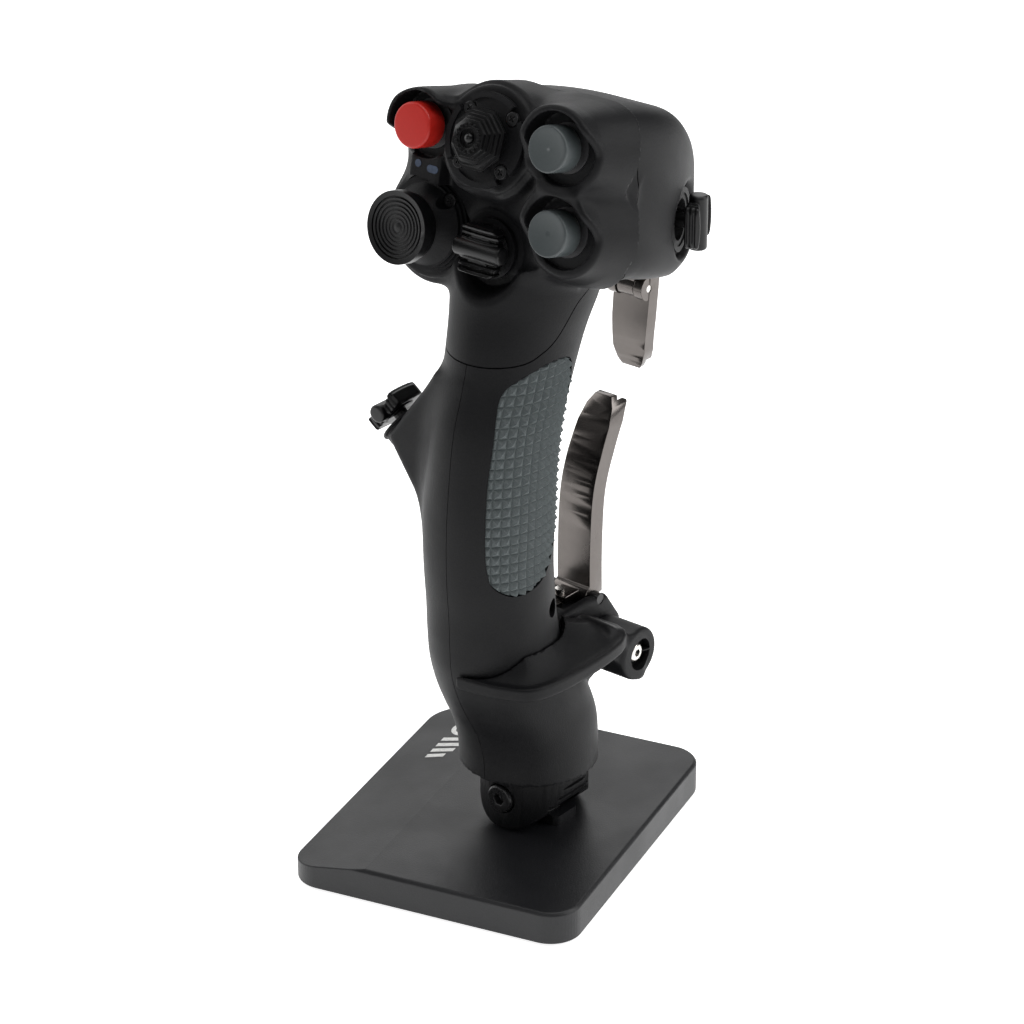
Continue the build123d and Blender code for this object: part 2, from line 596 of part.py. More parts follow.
def castle_cap(plane):
    """Saddle-shaped ribbed cap with a round wing at each side."""
    width, length, low, high = 11.4, 13.2, 3.2, 7.8
    cap = hat_stem(plane, low + 0.8)
    body = block(plane, width, length, low, high)
    body += plane * Pos(0, 0, low + 2.4) * Rot(0, 90, 0) * Cylinder(2.4, width + 3.0)
    body += plane * Pos(0, 0, low) * Cylinder(4.6, 3.6, align=BOTTOM)
    body -= plane * Pos(0, 0, high + 9.4) * Rot(0, 90, 0) * Cylinder(11.2, 30)
    for k in range(8):
        y = (k - 3.5) * 1.6
        body -= plane * Pos(0, y, high - 1.4 + 0.036 * y * y) * Box(20, 0.6, 1.6)
    body &= rod(plane, 8.1, 0, 12)
    return cap + body


def thumbstick_base(plane):
    """Stepped rings and a conical collar round the stick."""
    base = rod(plane, 12.8, 0, 1.0) + rod(plane, 12.1, 1.0, 2.0) + rod(plane, 11.4, 2.0, 3.0)
    base += plane * Pos(0, 0, 3.0) * Cone(10.8, 7.4, 4.0, align=BOTTOM)
    base += rod(plane, STICK_CUP_R, -CUP_DEPTH, 0)
    base -= rod(plane, CUP_BORE_R, -CUP_DEPTH + 1.5, 8)
    base -= trunnions(plane, True, TRUNNION_R + RUN, 5.0, 6.6)
    return base - stick_screw_spot() * Cylinder(2.1, 10, align=BOTTOM)


def stick_screw_spot():
    angle, radius, height = STICK_SCREW
    return SEATS["thumbstick"] * Rot(0, 0, angle) * Pos(radius, 0, height)


def thumbstick_cap(plane):
    """Round cap with concentric grooves over a plain skirt."""
    top = STICK_TOP
    cap = hat_stem(plane, top - 2) + rod(plane, 8.9, top - 5.5, top - 2.9)
    cap += rod(plane, 9.65, top - 2.9, top)
    cap -= plane * Pos(0, 0, top + 59.2) * Sphere(60.0)
    for k in range(7):
        radius = 1.4 + 1.1 * k
        groove = rod(plane, radius + 0.28, top - 0.9, top + 2)
        cap -= groove - rod(plane, radius - 0.28, top - 0.9, top + 2)
    return cap


# flange radius, flange height, lip height and screw angles of each hat
HAT_FLANGES = {
    "centre_hat": (12.3, 1.0, 0.7, HAT_SCREW_ANGLES),
    "castle_hat": (7.9, 0.8, 0.4, ()),
    "side_hat": (8.6, 0.6, 0.4, ()),
    "rear_hat": (7.6, 0.6, 0.0, ()),
}


def hat_screws():
    """Pan-head screws of the centre hat and the thumb stick."""
    centre = SEATS["centre_hat"]
    spots = [centre * Rot(0, 0, angle) * Pos(HAT_SCREW_RING, 0, 0) for angle in HAT_SCREW_ANGLES]
    spots.append(stick_screw_spot())
    screws = []
    for spot in spots:
        head = spot * Cylinder(1.8, 1.2, align=BOTTOM)
        for turn in (0, 90):
            head -= spot * Rot(0, 0, turn) * Pos(0, 0, 0.6) * Box(1.9, 0.5, 2, align=BOTTOM)
        screws.append(head)
    return Compound(children=screws)


# ---------------------------------------------------------------- inner parts
def indicator_windows(size, depth):
    """Round window and oval window in the bridge."""
    round_one = BRIDGE * Pos(-2.2, 0.4, -depth) * Circle(1.0 * size)
    oval_one = BRIDGE * Pos(2.7, -0.2, -depth) * SlotOverall(3.6 * size, 2.0 * size)
    return extrude(round_one, depth + 0.1) + extrude(oval_one, depth + 0.1)


def indicator_lenses():
    return indicator_windows(1.0, 0.8)


def main_board():
    """Circuit board in the head with its controller chip."""
    board = Pos(0, 18.0, 203.5) * Box(30, 20, 1.6)
    return board + Pos(0, 18, 205.8) * Box(8, 8, 3)


def lower_connector():
    """Round plug socket in the bottom of the handle."""
    plug = rod(Plane.XY, 7.6, 26.4, 35.0) - rod(Plane.XY, 6.0, 20, 33.2)
    for k in range(5):
        angle = 72 * k
        plug += Rot(0, 0, angle) * Pos(3.2, 0, 31.6) * Cylinder(0.5, 4.0)
    return plug


def wire_harness():
    """Cable from the socket up the handle to the board."""
    route = [(-2, 35.2), (-6, 46), (-13, 66), (-19, 92), (-18.5, 125), (-6, 160), (4, 176)]
    wire = Pos(0, *route[-1]) * Sphere(1.8)
    for (y0, z0), (y1, z1) in zip(route, route[1:]):
        run = Vector(0, y1 - y0, z1 - z0)
        start = Plane(origin=(0, y0, z0), x_dir=(1, 0, 0), z_dir=run)
        wire += rod(start, 1.8, 0, run.length)
        if z0 > route[0][1]:
            wire += Pos(0, y0, z0) * Sphere(1.8)
    return wire - Box(9, 9, 2 * route[0][1])


def hat_parts():
    """Base, gimbal, carrier and cap of each hat, by node name."""
    caps = {"centre_hat": octagon_cap, "thumbstick": thumbstick_cap}
    parts = {}
    for name, plane in SEATS.items():
        if name in HAT_FLANGES:
            parts[name + "_base"] = hat_base(plane, *HAT_FLANGES[name])
        else:
            parts[name + "_base"] = thumbstick_base(plane)
        parts[name + "_gimbal"] = hat_gimbal(plane)
        parts[name + "_carrier"] = hat_carrier(plane)
        parts[name + "_cap"] = caps.get(name, castle_cap)(plane)
    return parts


def button_parts():
    """Cap and switch of each push button, by node name."""
    parts = {}
    for name, plane in BUTTONS.items():
        parts[name + "_cap"] = button_cap(plane, name != "red_button")
        parts[name + "_switch"] = button_switch(plane)
    return parts


def all_parts():
    """Every part of the stick by node name."""
    bezel, left, right = shells()
    parts = {
        "stand_plate": stand_plate(),
        "anti_slip_pad": anti_slip_pad(),
        "stand_post": stand_post(),
        "stand_screws": stand_screws(),
        "adapter_knuckle": adapter_knuckle(),
        "cant_screw": cant_screw(),
        "face_bezel": bezel,
        "left_shell": left,
        "right_shell": right,
        "shell_screws": shell_screws(),
        "grip_panel_right": grip_panel(1),
        "grip_panel_left": grip_panel(-1),
        "hand_rest": hand_rest(),
        "hand_rest_bolt": hand_rest_bolt(),
        "hand_rest_nut": hand_rest_nut(),
        "brake_lever": brake_lever(),
        "brake_pin": brake_pin(),
        "brake_spring": brake_spring(),
        "brake_magnet": brake_magnet(),
        "trigger_arm": trigger_arm(),
        "trigger_blade": trigger_blade(),
        "trigger_pin": trigger_pin(),
        "trigger_bracket": trigger_bracket(),
        "fold_pin": fold_pin(),
        "trigger_spring": trigger_spring(),
        "trigger_switch": trigger_switch(),
        "hat_screws": hat_screws(),
        "indicator_lenses": indicator_lenses(),
        "main_board": main_board(),
        "lower_connector": lower_connector(),
        "wire_harness": wire_harness(),
    }
    parts.update(hat_parts())
    parts.update(button_parts())
    return parts


os.makedirs("parts", exist_ok=True)
for node, shape in all_parts().items():
    export_step(shape, os.path.join("parts", node + ".step"))
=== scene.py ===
"""Looks of the right-handed flight grip on its display stand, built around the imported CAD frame."""
import json
import math

import bmesh
import bpy
import numpy as np
import openvdb
from mathutils import Matrix, Vector


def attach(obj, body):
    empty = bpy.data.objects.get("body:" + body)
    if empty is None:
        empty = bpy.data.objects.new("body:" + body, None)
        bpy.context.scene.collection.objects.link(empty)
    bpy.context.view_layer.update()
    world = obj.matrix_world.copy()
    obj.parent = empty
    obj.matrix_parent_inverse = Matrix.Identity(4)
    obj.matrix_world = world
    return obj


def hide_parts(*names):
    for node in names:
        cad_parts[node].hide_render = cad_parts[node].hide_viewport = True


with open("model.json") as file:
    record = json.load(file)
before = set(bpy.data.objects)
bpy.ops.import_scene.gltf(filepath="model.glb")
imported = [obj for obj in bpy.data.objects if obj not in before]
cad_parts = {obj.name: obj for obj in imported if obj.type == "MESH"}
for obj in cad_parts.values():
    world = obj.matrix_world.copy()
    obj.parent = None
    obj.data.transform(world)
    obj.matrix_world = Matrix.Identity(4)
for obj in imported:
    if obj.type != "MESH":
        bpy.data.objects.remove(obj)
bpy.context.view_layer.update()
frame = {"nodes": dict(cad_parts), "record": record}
MM = 0.001

# Shape values, in millimetres, in the frame's axes: +X right, +Y away from the user, +Z up.
# Handle: height, centre Y, half width, half depth.
HANDLE = np.array([
    (27.0, -2.6, 19.5, 19.3), (36.0, -3.0, 19.6, 19.5), (44.0, -4.8, 19.9, 20.2),
    (52.0, -8.5, 19.2, 21.0), (60.0, -13.0, 18.2, 20.5), (68.0, -16.6, 17.6, 19.4),
    (76.0, -18.4, 17.4, 18.2), (85.0, -19.2, 17.3, 17.7), (97.0, -20.1, 17.4, 17.6),
    (111.0, -19.8, 17.6, 17.8), (125.0, -18.6, 17.3, 17.7), (138.0, -16.0, 16.9, 18.3),
    (150.0, -11.3, 16.6, 19.0), (160.0, -7.9, 17.2, 20.0), (169.0, -4.8, 19.0, 20.6),
    (178.0, -3.0, 21.0, 21.0)])
HANDLE_LOW, HANDLE_HIGH = 29.0, 182.0
HEAD_HALF_W, HEAD_HALF_L, HEAD_MID_Y, HEAD_BACK_Y = 34.0, 47.0, 3.0, -19.0
# The head's roof and floor are drawn in Y and Z; so are the lever bracket and the bezel's seam.
HEAD_ROOF = [(-19, 222), (-9, 226), (5, 223.5), (20, 218), (30, 212), (40, 204), (47, 194), (50, 185),
             (47, 176), (40, 171)]
HEAD_FLOOR = [(30, 171), (20, 171.6), (10, 174.6), (0, 177.8), (-10, 179.6), (-19, 181.0)]
ROOF_SLANT, ROOF_SLANT_FROM = (0.35, 0.2), (-6.0, -9.0, 226.0)
NOSE = [(-3, 66), (-3, 73), (14, 73), (22, 71.5), (28, 63), (28, 56), (22, 50.2), (14, 47.5), (6, 40),
        (-3, 40)]
NOSE_HALF_W = 8.6
SEAM = [(-2, 240), (-2, 205), (-4, 194), (-5, 184), (-2.5, 176), (-7, 171), (-12, 163), (-17, 159),
        (-24, 156.5), (-45, 155)]
# The rear hat's pod is drawn in X and Z.
POD = [(-9, 149), (-12.4, 149.1), (-28.9, 127.4), (-28, 125.6), (-16.1, 107.8), (-9, 101), (0, 101),
       (0, 149)]
POD_MID_Y, POD_HALF_L = -19.2, 8.8
WALL = 2.4
PANEL_OUTLINES = {
    1: [(-6.0, 154.5), (-4.2, 148.0), (-5.1, 138.8), (-7.8, 126.4), (-9.0, 110.0), (-12.9, 100.9),
        (-18.5, 95.3), (-24.2, 93.2), (-29.0, 93.2), (-32.8, 96.2), (-34.0, 101.0), (-34.3, 108.0),
        (-33.9, 116.0), (-33.0, 124.6), (-31.4, 133.8), (-28.8, 144.0), (-25.4, 151.0),
        (-17.6, 155.2), (-11.0, 156.2)],
    -1: [(-9, 99), (-17, 100), (-26, 98), (-26.5, 88), (-22, 80.5), (-14, 79), (-8.5, 88)],
}


# ---------------------------------------------------------------- small geometry helpers
class Seat:
    """Plane of a control: w points out of the casing, v up its face, u to the right."""

    def __init__(self, origin, azimuth, tilt):
        a, t = math.radians(azimuth), math.radians(tilt)
        self.o = np.array(origin, float)
        self.w = np.array([math.sin(a) * math.cos(t), -math.cos(a) * math.cos(t), math.sin(t)])
        u = np.cross([0.0, 0.0, 1.0], self.w)
        self.u = u / np.linalg.norm(u)
        self.v = np.cross(self.w, self.u)

    def local(self, x, y, z):
        """The point's place to the right, up the face and outwards."""
        dx, dy, dz = x - self.o[0], y - self.o[1], z - self.o[2]
        return tuple(a[0] * dx + a[1] * dy + a[2] * dz for a in (self.u, self.v, self.w))


BRIDGE_FACING = (0, 14)
SEATS = {
    "centre_hat": Seat((0, -19.9, 214.9), 0, 20),
    "castle_hat": Seat((0, -17.8, 185.0), 0, 10),
    "thumbstick": Seat((-21, -17.6, 186.7), 0, 12),
    "side_hat": Seat((27.4, 25.1, 186.6), 111, 0),
    "rear_hat": Seat((-28.5, -19.5, 128.6), -90, 37.2),
    "red_button": Seat((-21, -16.2, 213.8), 0, 12),
    "upper_button": Seat((25, -18.8, 218.2), 0, 14),
    "lower_button": Seat((25, -18.8, 195.7), 0, 14),
    "bridge": Seat((-19.6, -21.6, 203.9), *BRIDGE_FACING),
}


def spline_points(points, steps=12):
    """Smooth open curve through the points."""
    p = np.array(points, float)
    p = np.vstack([2 * p[0] - p[1], p, 2 * p[-1] - p[-2]])
    t = np.linspace(0, 1, steps, endpoint=False)[:, None]
    rows = []
    for a, b, c, d in zip(p, p[1:], p[2:], p[3:]):
        rows.append(b + 0.5 * t * (c - a + t * (2 * a - 5 * b + 4 * c - d + t * (3 * (b - c) + d - a))))
    return np.vstack(rows + [p[-2:-1]])


def closed_spline(points, steps=12):
    """Smooth closed curve through the points."""
    p = [tuple(q) for q in points]
    curve = spline_points([p[-1]] + p + [p[0], p[1]], steps)
    return curve[steps:-steps - 1]


def smin(a, b, k):
    """Union of two fields, blended over k."""
    h = np.clip(0.5 + 0.5 * (b - a) / k, 0, 1)
    return b + (a - b) * h - k * h * (1 - h)


def smax(a, b, k):
    """Common part of two fields, with its edge rounded over k."""
    return -smin(-a, -b, k)


def smoothstep(low, high, value):
    """Soft step from 0 at low to 1 at high."""
    t = np.clip((value - low) / (high - low), 0, 1)
    return t * t * (3 - 2 * t)


class Profile:
    """Signed distance of a closed outline, kept in a table and read between its points."""

    def __init__(self, outline, pitch=0.3, margin=12.0):
        p = np.array(outline, float)
        self.low = p.min(0) - margin
        self.pitch = pitch
        n = np.ceil((p.max(0) + margin - self.low) / pitch).astype(int) + 2
        u = self.low[0] + pitch * np.arange(n[0])[:, None] + np.zeros((1, n[1]))
        v = self.low[1] + pitch * np.arange(n[1])[None, :] + np.zeros((n[0], 1))
        best = np.full(u.shape, 1e9)
        inside = np.zeros(u.shape, bool)
        for (u0, v0), (u1, v1) in zip(p, np.roll(p, -1, 0)):
            eu, ev = u1 - u0, v1 - v0
            t = np.clip(((u - u0) * eu + (v - v0) * ev) / (eu * eu + ev * ev), 0, 1)
            best = np.minimum(best, (u - u0 - t * eu) ** 2 + (v - v0 - t * ev) ** 2)
            if v0 != v1:
                crosses = (v0 > v) != (v1 > v)
                inside ^= crosses & (u < u0 + (v - v0) * eu / ev)
        self.table = (np.where(inside, -1, 1) * np.sqrt(best)).astype(np.float32)

    def __call__(self, u, v):
        n = self.table.shape
        a = np.clip((u - self.low[0]) / self.pitch, 0, n[0] - 1.001)
        b = np.clip((v - self.low[1]) / self.pitch, 0, n[1] - 1.001)
        i, j = a.astype(np.int32), b.astype(np.int32)
        a, b = a - i, b - j
        t = self.table
        low = t[i, j] * (1 - a) + t[i + 1, j] * a
        return low * (1 - b) + (t[i, j + 1] * (1 - a) + t[i + 1, j + 1] * a) * b


# ---------------------------------------------------------------- the casing as a smooth field
HANDLE_ROWS = spline_points(HANDLE, 10)
ROOF_LINE = spline_points(HEAD_ROOF, 14)
HEAD_SIDE = Profile(np.vstack([ROOF_LINE, HEAD_FLOOR]))
POD_FRONT = Profile(POD)
NOSE_SIDE = Profile(NOSE)


def handle_field(x, y, z):
    """Distance from the handle, an ellipse at every height."""
    rows = HANDLE_ROWS
    yc, a, b = (np.interp(z, rows[:, 0], rows[:, k]) for k in (1, 2, 3))
    dy = y - yc
    k0 = np.sqrt((x / a) ** 2 + (dy / b) ** 2) + 1e-6
    k1 = np.sqrt((x / a ** 2) ** 2 + (dy / b ** 2) ** 2) + 1e-6
    side = k0 * (k0 - 1) / k1
    return np.maximum(side, np.maximum(HANDLE_LOW - z, z - HANDLE_HIGH))


def head_field(x, y, z):
    """Distance from the head: round in plan, flat behind, under the sloping roof."""
    dy = y - HEAD_MID_Y
    k0 = np.sqrt((x / HEAD_HALF_W) ** 2 + (dy / HEAD_HALF_L) ** 2) + 1e-6
    k1 = np.sqrt((x / HEAD_HALF_W ** 2) ** 2 + (dy / HEAD_HALF_L ** 2) ** 2) + 1e-6
    plan = smax(k0 * (k0 - 1) / k1, HEAD_BACK_Y - y, 5.0)
    x0, y0, z0 = ROOF_SLANT_FROM
    slant = (z - z0 - ROOF_SLANT[0] * (x - x0) + ROOF_SLANT[1] * (y - y0)) / 1.08
    return smax(smax(plan, HEAD_SIDE(y, z), 9.0) - 0.3, slant, 7.0)


def boss(seat, x, y, z, radius, top, k=1.0, depth=12.0, flare=0.0):
    """Round boss with a softened rim; flare widens it towards its foot."""
    u, v, w = seat.local(x, y, z)
    side = np.hypot(u, v) - radius + flare * np.minimum(w, 0)
    return np.maximum(smax(side, w - top, k), -depth - w)


def hooded_boss(seat, x, y, z, radius, well, low, high, centre, half, fade, flare):
    """Boss whose rim stands up as a hood over part of its round, with a round well in it."""
    u, v, w = seat.local(x, y, z)
    turn = np.degrees(np.arctan2(v, u)) - centre
    turn = np.abs((turn + 180) % 360 - 180)
    top = low + (high - low) * (1 - smoothstep(half, half + fade, turn))
    r = np.hypot(u, v)
    side = r - radius + flare * np.minimum(w - 1.5, 0) + 0.05 * (w - 1.5)
    body = np.maximum(smax(side, w - top, 1.1), -12 - w)
    hole = np.maximum(r - well, -w)
    return body, hole


# Turrets of the hats: foot radius, foot top, rounding, flare and blend of the foot, then rim radius.
TURRETS = {
    "centre_hat": (15.4, -1.3, 1.2, 0.08, 2.6, 14.2),
    "thumbstick": (15.6, -1.6, 1.4, 0.2, 3.5, 14.4),
    "castle_hat": (12.2, -1.2, 1.2, 0.3, 3.0, 11.0),
}
# Hooded turrets of the buttons: what hooded_boss asks for, then the roof's rounding and the blend.
HOODS = {
    "red_button": (10.4, 8.8, 0.6, 7.4, 120, 66, 26, 0.0, 3.0, 2.6),
    "upper_button": (11.6, 9.4, 1.6, 6.8, 104, 62, 44, 0.12, 5.0, 5.0),
    "lower_button": (11.6, 9.4, 1.6, 6.8, 104, 62, 44, 0.12, 5.0, 5.0),
}
# Bowls round the hats: radius at the foot, and how fast they widen outwards.
BOWLS = {"castle_hat": (9.8, 0.8), "side_hat": (9.6, 0.35), "rear_hat": (8.9, 0.2)}
BRIDGE_HALF_W, BRIDGE_HALF_H = 5.0, 4.3
LID_Y, LID_Z, LID_FALL = [-24, -15, -9, 5, 20], [234, 231, 228.5, 226, 219.5], 0.42
TURRETS_FROM_Z = 160


def with_hoods(body, x, y, z):
    """Add the hooded turrets, kept under a lid so that they don't rise above the roof."""
    holes = []
    canopy = (z - np.interp(y, LID_Y, LID_Z) - LID_FALL * np.minimum(x + 6, 0)) / 1.1
    for name, (*shape, edge, blend) in HOODS.items():
        part, hole = hooded_boss(SEATS[name], x, y, z, *shape)
        body = smin(body, smax(part, canopy, edge), blend)
        holes.append(hole)
    return body, holes


def with_bowls(body, x, y, z):
    """Cut the funnels round the ribbed hats."""
    for name, (foot, flare) in BOWLS.items():
        u, v, w = SEATS[name].local(x, y, z)
        bowl = np.maximum((np.hypot(u, v) - foot - flare * w) / math.hypot(1, flare), -w)
        body = smax(body, -bowl, 1.6)
    return body


def casing_field(x, y, z):
    """Outside of the whole casing, with the wells of the push buttons."""
    body = smin(handle_field(x, y, z), head_field(x, y, z), 5.0)
    pod = smax(POD_FRONT(x, z), np.abs(y - POD_MID_Y) - POD_HALF_L, 2.4)
    body = smin(body, pod, 4.0)
    nose = smax(NOSE_SIDE(y, z), np.abs(x) - NOSE_HALF_W, 1.6)
    body = smin(body, nose, 2.2)
    if z.max() < TURRETS_FROM_Z:
        return body
    for name, (foot, top, edge, flare, blend, rim) in TURRETS.items():
        body = smin(body, boss(SEATS[name], x, y, z, foot, top, edge, flare=flare), blend)
        body = smin(body, boss(SEATS[name], x, y, z, rim, 0.0, 0.8), 0.8)
    u, v, w = SEATS["bridge"].local(x, y, z)
    bridge = smax(smax(np.abs(u) - BRIDGE_HALF_W, np.abs(v) - BRIDGE_HALF_H, 1.2), w, 0.8)
    body = smin(body, np.maximum(bridge, -8 - w), 1.2)
    body, holes = with_hoods(body, x, y, z)
    body = with_bowls(body, x, y, z)
    for hole in holes:
        body = smax(body, -hole, 0.7)
    return body


def cavity_field(x, y, z):
    """Hollow inside of the casing."""
    inside = np.minimum(handle_field(x, y, np.clip(z, HANDLE_LOW + 3, None)), head_field(x, y, z)) + WALL
    inside = np.maximum(inside, 26.0 - z)
    front = np.maximum(NOSE_SIDE(y, z), np.abs(x) - NOSE_HALF_W)
    return np.maximum(inside, -front)


# ---------------------------------------------------------------- meshes
def make_object(name, verts, faces, scale=MM):
    """New object from points in millimetres."""
    mesh = bpy.data.meshes.new(name)
    mesh.from_pydata([tuple(v) for v in (np.array(verts) * scale).tolist()], [], [tuple(f) for f in faces])
    mesh.validate()
    obj = bpy.data.objects.new(name, mesh)
    bpy.context.scene.collection.objects.link(obj)
    return obj


def field_object(name, field, low, high, pitch):
    """Mesh of the surface where a field of x, y and z in millimetres is zero."""
    low = np.array(low, float)
    count = np.ceil((np.array(high) - low) / pitch).astype(int) + 1
    axes = [low[k] + pitch * np.arange(count[k]) for k in range(3)]
    values = np.empty(count, np.float32)
    for start in range(0, count[2], 24):
        x, y, z = np.meshgrid(axes[0], axes[1], axes[2][start:start + 24], indexing="ij")
        values[:, :, start:start + 24] = field(x, y, z)
    grid = openvdb.FloatGrid()
    grid.background = 3 * pitch
    grid.copyFromArray(np.clip(values, -3 * pitch, 3 * pitch))
    points, triangles, quads = grid.convertToPolygons(isovalue=0.0, adaptivity=0.0)
    points = points.astype(float) * pitch + low
    for _ in range(3):
        points = onto_surface(points, field, pitch)
    faces = [tuple(q[::-1]) for q in quads.tolist()] + [tuple(t[::-1]) for t in triangles.tolist()]
    return make_object(name, points, faces)


def onto_surface(points, field, limit):
    """One Newton step of every point towards the field's zero surface."""
    x, y, z = points.T
    h = 0.04
    value = field(x, y, z)
    slope = np.stack([field(x + h, y, z) - field(x - h, y, z), field(x, y + h, z) - field(x, y - h, z),
                      field(x, y, z + h) - field(x, y, z - h)], 1) / (2 * h)
    size = np.maximum((slope ** 2).sum(1), 0.05)
    step = np.clip(value / size, -limit, limit)
    return points - slope * step[:, None]


def prism(name, outline, low, high):
    """Closed prism over an outline in Y and Z, from X low to X high."""
    outline = np.array(outline, float)
    area = np.sum(outline[:, 0] * np.roll(outline[:, 1], -1) - outline[:, 1] * np.roll(outline[:, 0], -1))
    if area < 0:
        outline = outline[::-1]
    n = len(outline)
    verts = np.zeros((2 * n, 3))
    verts[:, 1:] = np.vstack([outline, outline])
    verts[:n, 0] = low
    verts[n:, 0] = high
    faces = [tuple(range(n))[::-1], tuple(range(n, 2 * n))]
    faces += [(k, (k + 1) % n, n + (k + 1) % n, n + k) for k in range(n)]
    return make_object(name, verts, faces)


def seat_cylinder(name, seat, radius, low, high, sides=72):
    """Cylinder along a seat's outward direction."""
    angles = np.linspace(0, 2 * math.pi, sides, endpoint=False)
    ring = seat.o + radius * (np.cos(angles)[:, None] * seat.u + np.sin(angles)[:, None] * seat.v)
    verts = np.vstack([ring + low * seat.w, ring + high * seat.w])
    faces = [tuple(range(sides))[::-1], tuple(range(sides, 2 * sides))]
    faces += [(k, (k + 1) % sides, sides + (k + 1) % sides, sides + k) for k in range(sides)]
    return make_object(name, verts, faces)


def x_cylinder(name, y, z, radius, low, high, sides=48):
    """Cylinder along X."""
    return seat_cylinder(name, Seat((0, y, z), 90, 0), radius, low, high, sides)


def boolean(obj, cutters, operation="DIFFERENCE"):
    """Apply one Boolean per cutter; the cutters are used up."""
    for cutter in cutters:
        modifier = obj.modifiers.new("cut", "BOOLEAN")
        modifier.operation = operation
        modifier.solver = "MANIFOLD"
        modifier.object = cutter
    apply_modifiers(obj)
    for cutter in cutters:
        bpy.data.objects.remove(cutter)
    return obj


def apply_modifiers(obj):
    """Bake the object's modifiers into its mesh."""
    bpy.context.view_layer.update()
    depsgraph = bpy.context.evaluated_depsgraph_get()
    mesh = bpy.data.meshes.new_from_object(obj.evaluated_get(depsgraph))
    obj.modifiers.clear()
    obj.data = mesh
    return obj


def copy_object(obj, name):
    """Second object with its own copy of the mesh."""
    twin = bpy.data.objects.new(name, obj.data.copy())
    bpy.context.scene.collection.objects.link(twin)
    return twin


def shade(obj, angle=32):
    """Smooth shading, with edges above the angle left sharp."""
    obj.data.polygons.foreach_set("use_smooth", [True] * len(obj.data.polygons))
    obj.data.set_sharp_from_angle(angle=math.radians(angle))
    return obj


def box_cutter(name, low, high):
    """Box between two corners."""
    outline = [(low[1], low[2]), (high[1], low[2]), (high[1], high[2]), (low[1], high[2])]
    return prism(name, outline, low[0], high[0])


# ---------------------------------------------------------------- materials
def node_material(name, color, roughness, metallic=0.0, specular=0.5):
    """Plain material and its shader."""
    mat = bpy.data.materials.new(name)
    mat.use_nodes = True
    shader = mat.node_tree.nodes["Principled BSDF"]
    shader.inputs["Base Color"].default_value = (*color, 1)
    shader.inputs["Roughness"].default_value = roughness
    shader.inputs["Metallic"].default_value = metallic
    shader.inputs["Specular IOR Level"].default_value = specular
    return mat, shader


def add_noise(tree, scale, detail):
    """Noise in the object's own space."""
    coords = tree.nodes.new("ShaderNodeTexCoord")
    noise = tree.nodes.new("ShaderNodeTexNoise")
    noise.inputs["Scale"].default_value = scale
    noise.inputs["Detail"].default_value = detail
    tree.links.new(coords.outputs["Object"], noise.inputs["Vector"])
    return noise


def add_ramp(tree, source, low, high):
    """Spread the middle of a noise over the range from low to high."""
    ramp = tree.nodes.new("ShaderNodeMapRange")
    ramp.inputs["From Min"].default_value = 0.35
    ramp.inputs["From Max"].default_value = 0.65
    ramp.inputs["To Min"].default_value = low
    ramp.inputs["To Max"].default_value = high
    tree.links.new(source, ramp.inputs["Value"])
    return ramp.outputs["Result"]


def grained(name, color, roughness, spread=0.05, grain=1800.0, bump=0.06, metallic=0.0, specular=0.5,
            tint=0.12):
    """Moulded or coated surface: fine grain in its relief, faint clouds in its colour and roughness."""
    mat, shader = node_material(name, color, roughness, metallic, specular)
    tree = mat.node_tree
    fine = add_noise(tree, grain, 4.0)
    relief = tree.nodes.new("ShaderNodeBump")
    relief.inputs["Strength"].default_value = bump
    relief.inputs["Distance"].default_value = 0.0002
    tree.links.new(fine.outputs["Fac"], relief.inputs["Height"])
    tree.links.new(relief.outputs["Normal"], shader.inputs["Normal"])
    cloud = add_noise(tree, 55.0, 5.0)
    rough = add_ramp(tree, cloud.outputs["Fac"], roughness - spread, roughness + spread)
    tree.links.new(rough, shader.inputs["Roughness"])
    mix = tree.nodes.new("ShaderNodeMix")
    mix.data_type = "RGBA"
    mix.inputs["A"].default_value = (*[c * (1 - tint) for c in color], 1)
    mix.inputs["B"].default_value = (*[min(1, c * (1 + tint)) for c in color], 1)
    tree.links.new(add_ramp(tree, fine.outputs["Fac"], 0.0, 1.0), mix.inputs["Factor"])
    tree.links.new(mix.outputs["Result"], shader.inputs["Base Color"])
    return mat


LOOKS = {
    "black_plastic": ((0.0046, 0.0047, 0.0054), 0.50, 0.04, 2600.0, 0.30, 0.0, 0.17),
    "satin_black": ((0.0026, 0.0026, 0.0030), 0.33, 0.05, 1500.0, 0.08, 0.0, 0.34),
    "black_metal": ((0.0070, 0.0073, 0.0086), 0.42, 0.04, 2200.0, 0.25, 0.0, 0.42),
    "black_steel": ((0.02, 0.02, 0.021), 0.30, 0.06, 1500.0, 0.08, 0.4),
    "pad_rubber": ((0.015, 0.015, 0.015), 0.85, 0.05, 900.0, 0.5),
    "panel_rubber": ((0.088, 0.102, 0.104), 0.60, 0.05, 2600.0, 0.25, 0.0, 0.3),
    "bright_steel": ((0.66, 0.64, 0.61), 0.24, 0.03, 700.0, 0.01, 1.0, 0.5, 0.04),
    "dark_chrome": ((0.135, 0.123, 0.116), 0.26, 0.02, 600.0, 0.004, 1.0, 0.5, 0.03),
    "inner_plastic": ((0.03, 0.03, 0.032), 0.5),
    "board_green": ((0.02, 0.16, 0.07), 0.4),
    "wire_grey": ((0.05, 0.05, 0.05), 0.6),
    "red_plastic": ((0.42, 0.014, 0.009), 0.38, 0.03, 1800.0, 0.04, 0.0, 0.35, 0.03),
    "grey_plastic": ((0.054, 0.063, 0.065), 0.36, 0.03, 1800.0, 0.04, 0.0, 0.35, 0.03),
    "lens_blue": ((0.055, 0.075, 0.115), 0.22, 0.03, 900.0, 0.03),
    "white_print": ((0.72, 0.72, 0.70), 0.5, 0.03, 1200.0, 0.1),
}
